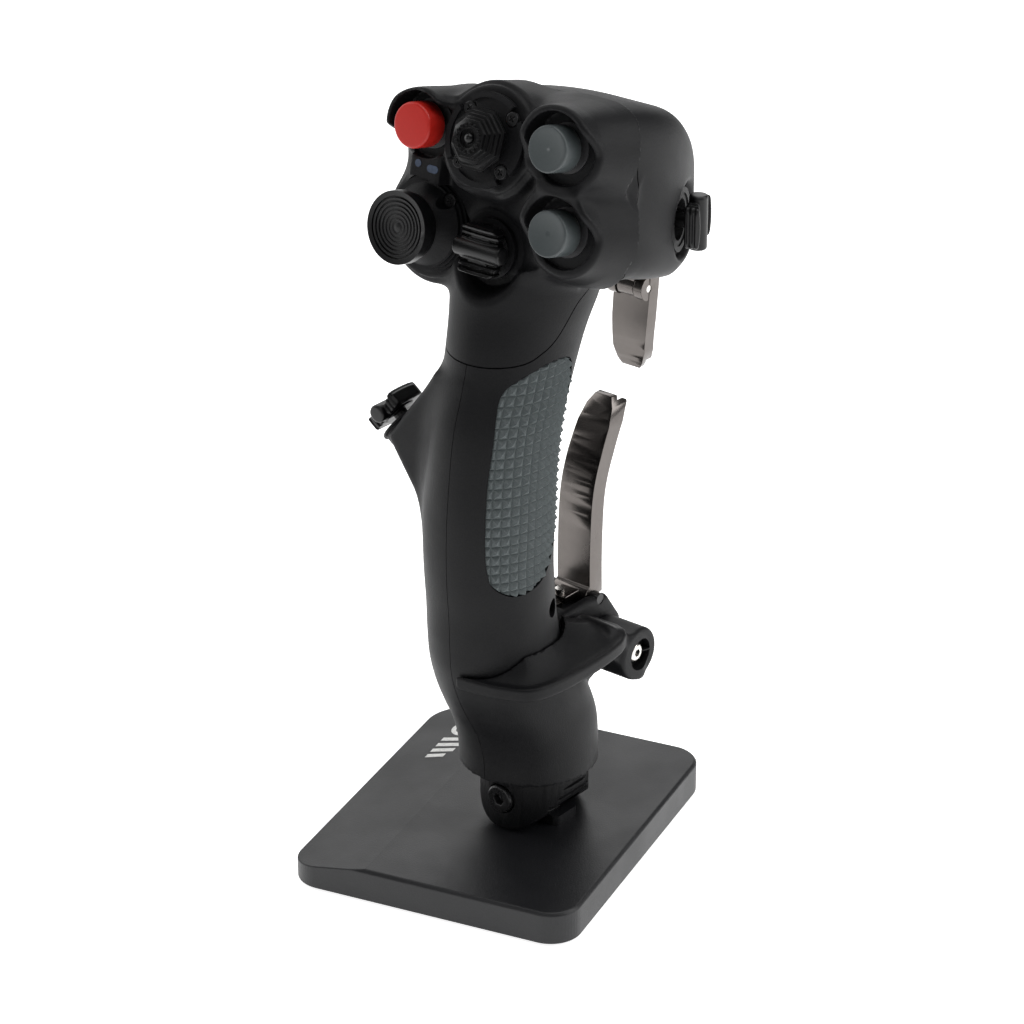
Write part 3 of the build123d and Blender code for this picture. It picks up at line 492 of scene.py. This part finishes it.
MATERIALS = {name: grained(name, *look) for name, look in LOOKS.items()}


def coat(obj, slot):
    """Give the object the material of a slot."""
    obj.data.materials.clear()
    obj.data.materials.append(MATERIALS[slot])
    return obj


SLOTS = {part["node"]: part["material_slot"] for part in frame["record"]["subparts"]}
SLOTS["brake_pin"] = "black_steel"
BODY_OF = {node: body for body, nodes in frame["record"]["behaviour"]["bodies"].items() for node in nodes}


def finish_piece(obj, node, slot=None, angle=32):
    """The piece stands for one CAD node: it moves with it and takes its material slot."""
    shade(obj, angle)
    coat(obj, slot or SLOTS[node])
    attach(obj, BODY_OF[node])
    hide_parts(node)
    slot or SLOTS[node]
    return obj


# ---------------------------------------------------------------- casing pieces
STICK_CUP_R, CUP_R, WELL_BORE_R, WINDOW_R = 9.15, 7.15, 6.6, 1.08
WINDOW_SPOTS = ((-2.2, 0.4), (1.9, -0.2), (2.7, -0.2), (3.5, -0.2))
TRIGGER_SLOT = (-4.2, 31.5, 160), (4.2, 48.5, 176)
LEVER_SLOT = (-6.2, 5.0, 63.5), (6.2, 25.0, 83.5)
BOLT_Y, BOLT_Z, BOLT_FACE_X, BOLT_HOLE_R, NUT_POCKET_R = 19.0, 58.6, 22.0, 1.65, 3.3
PIN_Y, PIN_Z, PIN_R = 18.5, 71.5, 1.5
SCREW_HEAD_X, SCREW_HEAD_R = 11.2, 2.6
SEAM_GAP, SPLIT_GAP = 0.18, 0.08     # half the gap at the bezel's seam and at the middle plane
PANEL_DEPTH = 1.3
CLEAR_R = {"centre_hat": 12.6, "castle_hat": 9.6, "thumbstick": 13.1, "side_hat": 9.6, "rear_hat": 8.8}
SHELL_SCREWS = [(-12.5, 83.7, 1), (8.0, 44.0, -1), (0.0, 158.0, -1)]


def clipped(field, low, high):
    """The field inside a box only."""
    def inside(x, y, z):
        box = np.maximum(np.maximum(low[0] - x, x - high[0]), np.maximum(low[1] - y, y - high[1]))
        return np.maximum(field(x, y, z), np.maximum(box, np.maximum(low[2] - z, z - high[2])))
    return inside


def skin(name, field, low, high, pitch):
    """Mesh of a field's surface inside a box."""
    margin = 2.2 * pitch
    grown = [c - margin for c in low], [c + margin for c in high]
    return field_object(name, clipped(field, low, high), *grown, pitch)


def head_cutters():
    """Openings for the hats and the buttons, and the windows of the two lenses."""
    cutters = []
    for name, radius in CLEAR_R.items():
        cutters.append(seat_cylinder("clear", SEATS[name], radius, 0.0, 16.0))
        cup = STICK_CUP_R if name == "thumbstick" else CUP_R
        cutters.append(seat_cylinder("cup", SEATS[name], cup, -11.0, 1.0))
    for name in HOODS:
        cutters.append(seat_cylinder("well", SEATS[name], WELL_BORE_R, -14.0, 1.0))
    bridge = SEATS["bridge"]
    for u, v in WINDOW_SPOTS:
        window = Seat(bridge.o + u * bridge.u + v * bridge.v, *BRIDGE_FACING)
        cutters.append(seat_cylinder("window", window, WINDOW_R, -1.0, 4.0, 32))
    return cutters


def body_cutters():
    """Slots of the trigger and the lever, and the holes of bolt, pin and screws."""
    cutters = [box_cutter("trigger_slot", *TRIGGER_SLOT),
               box_cutter("lever_slot", *LEVER_SLOT),
               x_cylinder("bolt_hole", BOLT_Y, BOLT_Z, BOLT_HOLE_R, -12, 12),
               x_cylinder("nut_pocket", BOLT_Y, BOLT_Z, NUT_POCKET_R, -9.5, -5.6),
               x_cylinder("pin_hole", PIN_Y, PIN_Z, PIN_R, -12, 12)]
    for y, z, side in SHELL_SCREWS:
        reach = (SCREW_HEAD_X, 26) if side > 0 else (-26, -SCREW_HEAD_X)
        cutters.append(x_cylinder("screw_head_hole", y, z, SCREW_HEAD_R, *reach))
    return cutters


def panel_outline(side, shrink):
    """Outline of a grip panel in Y and Z, drawn in by the shrink."""
    points = np.array(PANEL_OUTLINES[side], float)
    middle = points.mean(0)
    reach = np.linalg.norm(points - middle, axis=1)[:, None]
    return closed_spline(points + (middle - points) * shrink / reach, 14)


def panel_prism(side):
    """Slab that holds a grip panel's pocket."""
    low, high = (4.0, 24.0) if side > 0 else (-24.0, -4.0)
    return prism("panel_prism", panel_outline(side, 0.0), low, high)


def bezel_prism(grow):
    """The space of the face bezel, with its seam moved outwards by grow."""
    line = spline_points(SEAM, 10)
    run = np.gradient(line, axis=0)
    run /= np.linalg.norm(run, axis=1)[:, None]
    line = line + grow * np.stack([-run[:, 1], run[:, 0]], 1)
    outline = np.vstack([line, [(-60, 155 - grow), (-60, 240)]])
    return prism("bezel_prism", outline, -60, 60)


def core_field(x, y, z):
    """The handle under the grip panels."""
    return handle_field(x, y, z) + PANEL_DEPTH


def casing_pieces():
    """Face bezel, left shell and right shell."""
    cavity = skin("cavity", cavity_field, (-36, -40, 27), (36, 54, 224), 1.1)
    bezel = skin("face_bezel_visual", casing_field, (-44, -38, 148), (40, 4, 234), 0.46)
    boolean(bezel, [bezel_prism(-SEAM_GAP)], "INTERSECT")
    boolean(bezel, [copy_object(cavity, "hollow")] + head_cutters())
    whole = skin("whole", casing_field, (-44, -44, 28.5), (40, 54, 234), 0.74)
    boolean(whole, [bezel_prism(SEAM_GAP), cavity] + head_cutters() + body_cutters())
    core = skin("panel_core", core_field, (-24, -42, 72), (24, 6, 160), 1.0)
    pockets = [boolean(panel_prism(side), [copy_object(core, "core")]) for side in (1, -1)]
    boolean(whole, pockets)
    bpy.data.objects.remove(core)
    left = copy_object(whole, "left_shell_visual")
    whole.name = "right_shell_visual"
    boolean(left, [box_cutter("right_half", (-SPLIT_GAP, -80, -10), (90, 90, 300))])
    boolean(whole, [box_cutter("left_half", (-90, -80, -10), (SPLIT_GAP, 90, 300))])
    finish_piece(bezel, "face_bezel")
    finish_piece(left, "left_shell")
    finish_piece(whole, "right_shell")


# ---------------------------------------------------------------- knurled grip panels
KNURL_PITCH, KNURL_APEX, KNURL_FOOT, KNURL_BACK = 2.7, 0.72, -0.62, -1.28
KNURL_COLUMNS, KNURL_FROM = 17, -1.75
KNURL_GAP = 0.35


def handle_point(angle, z, grow):
    """Point on the handle's skin; angle 0 faces +X and -90 degrees faces the user."""
    rows = HANDLE_ROWS
    yc, a, b = (np.interp(z, rows[:, 0], rows[:, k]) for k in (1, 2, 3))
    return np.array([(a + grow) * math.cos(angle), yc + (b + grow) * math.sin(angle), z])


def knurled_panel(side):
    """Closed sheet of square pyramids over the handle's skin, trimmed to the panel's outline."""
    outline = panel_outline(side, KNURL_GAP)
    low_z, high_z = outline[:, 1].min() - 4, outline[:, 1].max() + 4
    rows = int((high_z - low_z) / KNURL_PITCH) + 1
    step = KNURL_PITCH / 18.0
    columns = KNURL_COLUMNS
    angles = [KNURL_FROM + step * k for k in range(columns + 1)]
    heights = [low_z + KNURL_PITCH * k for k in range(rows + 1)]
    mesh = bmesh.new()

    def vert(angle, z, grow):
        p = handle_point(angle, z, grow)
        p[0] *= side
        return mesh.verts.new(p * MM)

    top = [[vert(a, z, KNURL_FOOT) for a in angles] for z in heights]
    inner = [[vert(a, z, KNURL_BACK) for a in angles] for z in heights]
    for i in range(rows):
        for j in range(columns):
            apex = vert(angles[j] + step / 2, heights[i] + KNURL_PITCH / 2, KNURL_APEX)
            ring = [top[i][j], top[i][j + 1], top[i + 1][j + 1], top[i + 1][j]]
            for k in range(4):
                mesh.faces.new((ring[k], ring[(k + 1) % 4], apex))
            mesh.faces.new((inner[i][j], inner[i + 1][j], inner[i + 1][j + 1], inner[i][j + 1]))
    border = [(0, j) for j in range(columns)] + [(i, columns) for i in range(rows)]
    border += [(rows, j) for j in range(columns, 0, -1)] + [(i, 0) for i in range(rows, 0, -1)]
    for (i, j), (k, m) in zip(border, border[1:] + border[:1]):
        mesh.faces.new((top[i][j], inner[i][j], inner[k][m], top[k][m]))
    bmesh.ops.recalc_face_normals(mesh, faces=mesh.faces)
    data = bpy.data.meshes.new("knurl")
    mesh.to_mesh(data)
    mesh.free()
    name = "grip_panel_right" if side > 0 else "grip_panel_left"
    obj = bpy.data.objects.new(name + "_visual", data)
    bpy.context.scene.collection.objects.link(obj)
    reach = (2.0, 26.0) if side > 0 else (-26.0, -2.0)
    boolean(obj, [prism("panel_edge", outline, *reach)], "INTERSECT")
    finish_piece(obj, name, angle=20)


# ---------------------------------------------------------------- hand rest
REST_EDGE = [(2.5, -37.0), (9.0, -36.2), (16.0, -34.4), (23, -30.4), (25.9, -21), (26.4, -6), (25.2, 6.0),
             (23.4, 10.6)]
REST_BACK = [(18.1, 13.6), (10.6, 13.2), (7.6, 10.1), (0, 2.0), (-2.0, -20)]
REST_PLAN = Profile(np.vstack([spline_points(REST_EDGE, 10), REST_BACK]), 0.25)
REST_TOP_Z, REST_UNDER_Z, REST_WALL_Z = 68.6, 64.6, 74.0
REST_GAP = 0.35                     # the shelf clears the handle by this much over its whole tilt
REST_TILTS = np.radians(np.linspace(-1.0, 5.2, 11))
REST_BOSS_R, REST_BOSS_X, REST_RECESS, REST_RECESS_R = 7.6, 9.0, 2.6, 4.6
REST_ARM_Y, REST_ARM_Z, REST_ARM_X = 13.0, 62.0, 16.0


def shelf_field(x, y, z):
    """Dished shelf that rises from its rim to the handle."""
    plan = REST_PLAN(x, y)
    wall = np.clip(handle_field(x, y, REST_WALL_Z + 0 * z), 0, None)
    inner = np.clip(-plan, 0, None)
    near = inner / (inner + wall + 0.6)
    reach = np.clip((inner + wall) / 9.0, 0, 1)
    lift = 6.5 * smoothstep(-40.0, -24.0, y) + 1.0
    crest = 1.8 * smoothstep(-12.0, 8.0, y) * smoothstep(0.0, 7.0, inner)
    dish = 0.6 * smoothstep(0.3, 2.5, inner) * (1 - near)
    top = REST_TOP_Z + crest + reach * lift * near ** 1.7 - dish
    under = REST_UNDER_Z + 0.6 * np.clip(inner / 6.0, 0, 1)
    return smax(smax(plan, z - top, 0.9), under - z, 1.0)


def rest_field(x, y, z):
    """Shelf, clamp boss and the arm between them, clear of the handle over the whole tilt."""
    dy, dz = y - BOLT_Y, z - BOLT_Z
    boss = smax(smax(np.hypot(dy, dz) - REST_BOSS_R, x - BOLT_FACE_X, 1.2), REST_BOSS_X - x, 0.8)
    slope = np.abs(0.62 * (y - REST_ARM_Y) + 0.78 * (z - REST_ARM_Z)) - 4.2
    arm = smax(slope, np.abs(y - REST_ARM_Y) - 7.0, 2.0)
    arm = smax(arm, np.abs(x - REST_ARM_X) - 5.6, 1.6)
    body = smin(smin(shelf_field(x, y, z), boss, 2.0), arm, 3.0)
    swept = np.full(np.shape(body), -1e3)
    for angle in REST_TILTS:
        c, t = math.cos(angle), -math.sin(angle)
        handle = handle_field(x, BOLT_Y + c * dy + t * dz, BOLT_Z - t * dy + c * dz)
        swept = np.maximum(swept, REST_GAP - handle)
    return smax(body, swept, 0.4)


def hand_rest_piece():
    """The hand rest with its bolt hole and the recess of the bolt's head."""
    low, high = (-3.0, -39.0, 49.0), (28.0, 28.0, 82.0)
    obj = skin("hand_rest_visual", rest_field, low, high, 0.4)
    cutters = [box_cutter("bracket_gap", (-10, 0.0, 30), (9.0, 40, 90)),
               x_cylinder("bolt_hole", BOLT_Y, BOLT_Z, BOLT_HOLE_R, 0, 30),
               x_cylinder("head_recess", BOLT_Y, BOLT_Z, REST_RECESS_R, BOLT_FACE_X - REST_RECESS, 30, 64)]
    boolean(obj, cutters)
    finish_piece(obj, "hand_rest")


# ---------------------------------------------------------------- hats
def castle_field(seat, turned):
    """Ribbed saddle cap with two round wings; turned puts its ribs upright."""
    def field(x, y, z):
        u, v, w = seat.local(x, y, z)
        if turned:
            u, v = v, -u
        wave = 0.5 + 0.5 * np.cos(2 * math.pi * v / 1.62)
        groove = smoothstep(0.35, 0.85, wave)
        side = np.abs(u) - 5.9 + 0.5 * groove
        crown = w - (6.3 + 0.042 * v * v) + 0.9 * groove + 0.012 * u * u
        layers = smoothstep(0.2, 0.8, 0.5 + 0.5 * np.cos(2 * math.pi * w / 1.5)) if turned else 0.0
        ends = np.abs(v) - 6.5 + 0.45 * layers
        block = smax(smax(side, ends, 1.4), smax(crown, 3.2 - w, 0.5), 0.8)
        wings = smax(np.hypot(v, w - 5.5) - 2.5, np.abs(u) - 7.6, 0.8)
        skirt = smax(np.hypot(u, v) - 4.6, np.abs(w - 4.6) - 1.6, 0.4)
        stem = np.maximum(np.hypot(u, v) - 2.0, np.abs(w + 1.1) - 5.1)
        cap = smin(smin(block, wings, 0.5), skirt, 0.5)
        cap = smax(cap, np.hypot(u, v) - 8.0, 0.5)
        return np.minimum(cap, stem)
    return field


CAP_REACH, CAP_PITCH = 9.0, 0.21


def castle_caps():
    """Caps of the three ribbed hats."""
    for name, turned in (("castle_hat", False), ("side_hat", True), ("rear_hat", False)):
        seat = SEATS[name]
        centre = seat.o + 2.0 * seat.w
        reach = CAP_REACH * np.abs(seat.w) + CAP_REACH * np.sqrt(1 - seat.w ** 2)
        low, high = tuple(centre - reach), tuple(centre + reach)
        obj = skin(name + "_cap_visual", castle_field(seat, turned), low, high, CAP_PITCH)
        finish_piece(obj, name + "_cap", angle=50)


# ---------------------------------------------------------------- CAD pieces with softened edges
def softened(node, width, sharp=25):
    """Copy of a CAD node whose edges are rounded, so they catch the light."""
    obj = bpy.data.objects.new(node + "_visual", frame["nodes"][node].data.copy())
    bpy.context.scene.collection.objects.link(obj)
    mesh = bmesh.new()
    mesh.from_mesh(obj.data)
    bmesh.ops.remove_doubles(mesh, verts=mesh.verts, dist=2e-6)
    bmesh.ops.dissolve_limit(mesh, angle_limit=math.radians(0.6), verts=mesh.verts, edges=mesh.edges)
    mesh.to_mesh(obj.data)
    mesh.free()
    bevel = obj.modifiers.new("bevel", "BEVEL")
    bevel.width = width * MM
    bevel.segments = 2
    bevel.limit_method = "ANGLE"
    bevel.angle_limit = math.radians(35)
    bevel.use_clamp_overlap = True
    apply_modifiers(obj)
    finish_piece(obj, node, angle=sharp)


# Width of the rounded edge in millimetres, by node.
SOFT_EDGES = {"stand_plate": 0.35, "brake_lever": 0.45, "trigger_blade": 0.4, "adapter_knuckle": 0.4,
              "centre_hat_cap": 0.14, "thumbstick_cap": 0.18, "centre_hat_base": 0.2, "thumbstick_base": 0.2,
              "castle_hat_base": 0.15, "side_hat_base": 0.15, "cant_screw": 0.25, "hat_screws": 0.12,
              "upper_button_cap": 0.3, "lower_button_cap": 0.3, "red_button_cap": 0.3}


# ---------------------------------------------------------------- generic mark on the stand's sloping strip
PLATE_CENTRE, PLATE_TURN, PLATE_TOP = (-9.5, -3.15), 14.3, 10.4
STRIP_EDGE_X, STRIP_SLOPE = -18.5, 4.1 / 24.0
PRINT_PROUD, PRINT_SUNK = 0.06, 0.2


def strip_point(x, y, lift):
    """Point on the sloping strip, from the plate's own X and Y."""
    c, t = math.cos(math.radians(PLATE_TURN)), math.sin(math.radians(PLATE_TURN))
    z = PLATE_TOP - max(STRIP_EDGE_X - x, 0) * STRIP_SLOPE + lift
    return (PLATE_CENTRE[0] + c * x - t * y, PLATE_CENTRE[1] + t * x + c * y, z)


def ring_outline(x, y, outer, inner, sides=40):
    """Outer and inner edge of a ring that is open on its right."""
    angles = np.linspace(0.25, 2 * math.pi - 0.25, sides)
    out = [(x + outer * math.cos(a), y + outer * math.sin(a)) for a in angles]
    back = [(x + inner * math.cos(a), y + inner * math.sin(a)) for a in angles[::-1]]
    return out, back


def strip_mark():
    """Open ring and slanted bars, printed white."""
    verts, faces = [], []
    out, back = ring_outline(-27.5, 36.0, 4.6, 3.2)
    quads = [(out[k], out[k + 1], back[-k - 2], back[-k - 1]) for k in range(len(out) - 1)]
    for k in range(4):
        y = 27.5 - 3.6 * k
        long = 9.5 - 1.4 * k
        quads.append(((-32.0, y), (-32.0 + long, y + 1.2), (-32.0 + long, y + 3.2), (-32.0, y + 2.0)))
    for quad in quads:
        start = len(verts)
        verts += [strip_point(x, y, PRINT_PROUD) for x, y in quad]
        verts += [strip_point(x, y, -PRINT_SUNK) for x, y in quad]
        faces += [tuple(start + i for i in f) for f in
                  [(0, 1, 2, 3), (7, 6, 5, 4), (0, 4, 5, 1), (1, 5, 6, 2), (2, 6, 7, 3), (3, 7, 4, 0)]]
    obj = make_object("strip_mark", verts, faces)
    mesh = bmesh.new()
    mesh.from_mesh(obj.data)
    bmesh.ops.recalc_face_normals(mesh, faces=mesh.faces)
    mesh.to_mesh(obj.data)
    mesh.free()
    coat(obj, "white_print")
    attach(obj, "stand")


def keep_nodes():
    """Material for every CAD node that is still shown."""
    for node, obj in frame["nodes"].items():
        if not obj.hide_render:
            coat(obj, SLOTS[node])


# ---------------------------------------------------------------- stage, light and camera
LIGHTS = {
    "left": ((-0.85, -0.25, 0.55), (0.5, 0.9), 3.6),
    "right": ((0.75, 0.45, 0.60), (0.5, 0.8), 5.0),
    "top": ((0.10, 0.05, 1.00), (0.8, 0.8), 4.5),
    "back": ((-0.75, 0.95, 0.75), (1.3, 0.8), 5.5),
    "front": ((0.15, -1.10, 0.70), (0.6, 0.5), 1.1),
}
LIGHT_TARGET = (0, 0, 0.12)
FLOOR_SIZE, FLOOR_GLOW, WORLD_GLOW = 6.0, 0.86, 0.13
CAMERA_AZIMUTH, CAMERA_ELEVATION = math.radians(38.72), math.radians(25.81)
CAMERA_PLACE, CAMERA_LENS = (0.5445, -0.6892, 0.5275), 126.56


def area_light(name, place, size, power):
    """Soft box that faces the grip."""
    data = bpy.data.lights.new(name, "AREA")
    data.shape = "RECTANGLE"
    data.size, data.size_y = size
    data.energy = power
    obj = bpy.data.objects.new(name, data)
    bpy.context.scene.collection.objects.link(obj)
    obj.location = place
    obj.rotation_euler = (Vector(LIGHT_TARGET) - Vector(place)).to_track_quat("-Z", "Y").to_euler()


def stage():
    """Pale floor, even surroundings and the soft boxes."""
    corners = [(x * FLOOR_SIZE, y * FLOOR_SIZE, 0) for x, y in ((-1, -1), (1, -1), (1, 1), (-1, 1))]
    floor = make_object("floor", corners, [(0, 1, 2, 3)], 1.0)
    mat, shader = node_material("floor", (0.93, 0.93, 0.93), 0.7)
    shader.inputs["Emission Color"].default_value = (1, 1, 1, 1)
    shader.inputs["Emission Strength"].default_value = FLOOR_GLOW
    floor.data.materials.append(mat)
    world = bpy.data.worlds.new("studio")
    world.use_nodes = True
    world.node_tree.nodes["Background"].inputs["Color"].default_value = (1, 1, 1, 1)
    world.node_tree.nodes["Background"].inputs["Strength"].default_value = WORLD_GLOW
    bpy.context.scene.world = world
    for name, (place, size, power) in LIGHTS.items():
        area_light(name, place, size, power)


def camera():
    """Long lens from the front right, above the grip."""
    data = bpy.data.cameras.new("camera")
    data.sensor_width = 36.0
    data.lens = CAMERA_LENS
    data.clip_end = 50.0
    obj = bpy.data.objects.new("camera", data)
    bpy.context.scene.collection.objects.link(obj)
    azimuth, level = CAMERA_AZIMUTH, math.cos(CAMERA_ELEVATION)
    back = Vector((math.sin(azimuth) * level, -math.cos(azimuth) * level, math.sin(CAMERA_ELEVATION)))
    right = Vector((math.cos(azimuth), math.sin(azimuth), 0))
    up = back.cross(right)
    place = Matrix((right, up, back)).transposed().to_4x4()
    place.translation = Vector(CAMERA_PLACE)
    obj.matrix_world = place
    bpy.context.scene.camera = obj


casing_pieces()
knurled_panel(1)
knurled_panel(-1)
hand_rest_piece()
castle_caps()
for node, width in SOFT_EDGES.items():
    softened(node, width, sharp=6 if node == "stand_plate" else 25)
strip_mark()
keep_nodes()
stage()
camera()
bpy.context.scene.view_settings.view_transform = "Standard"
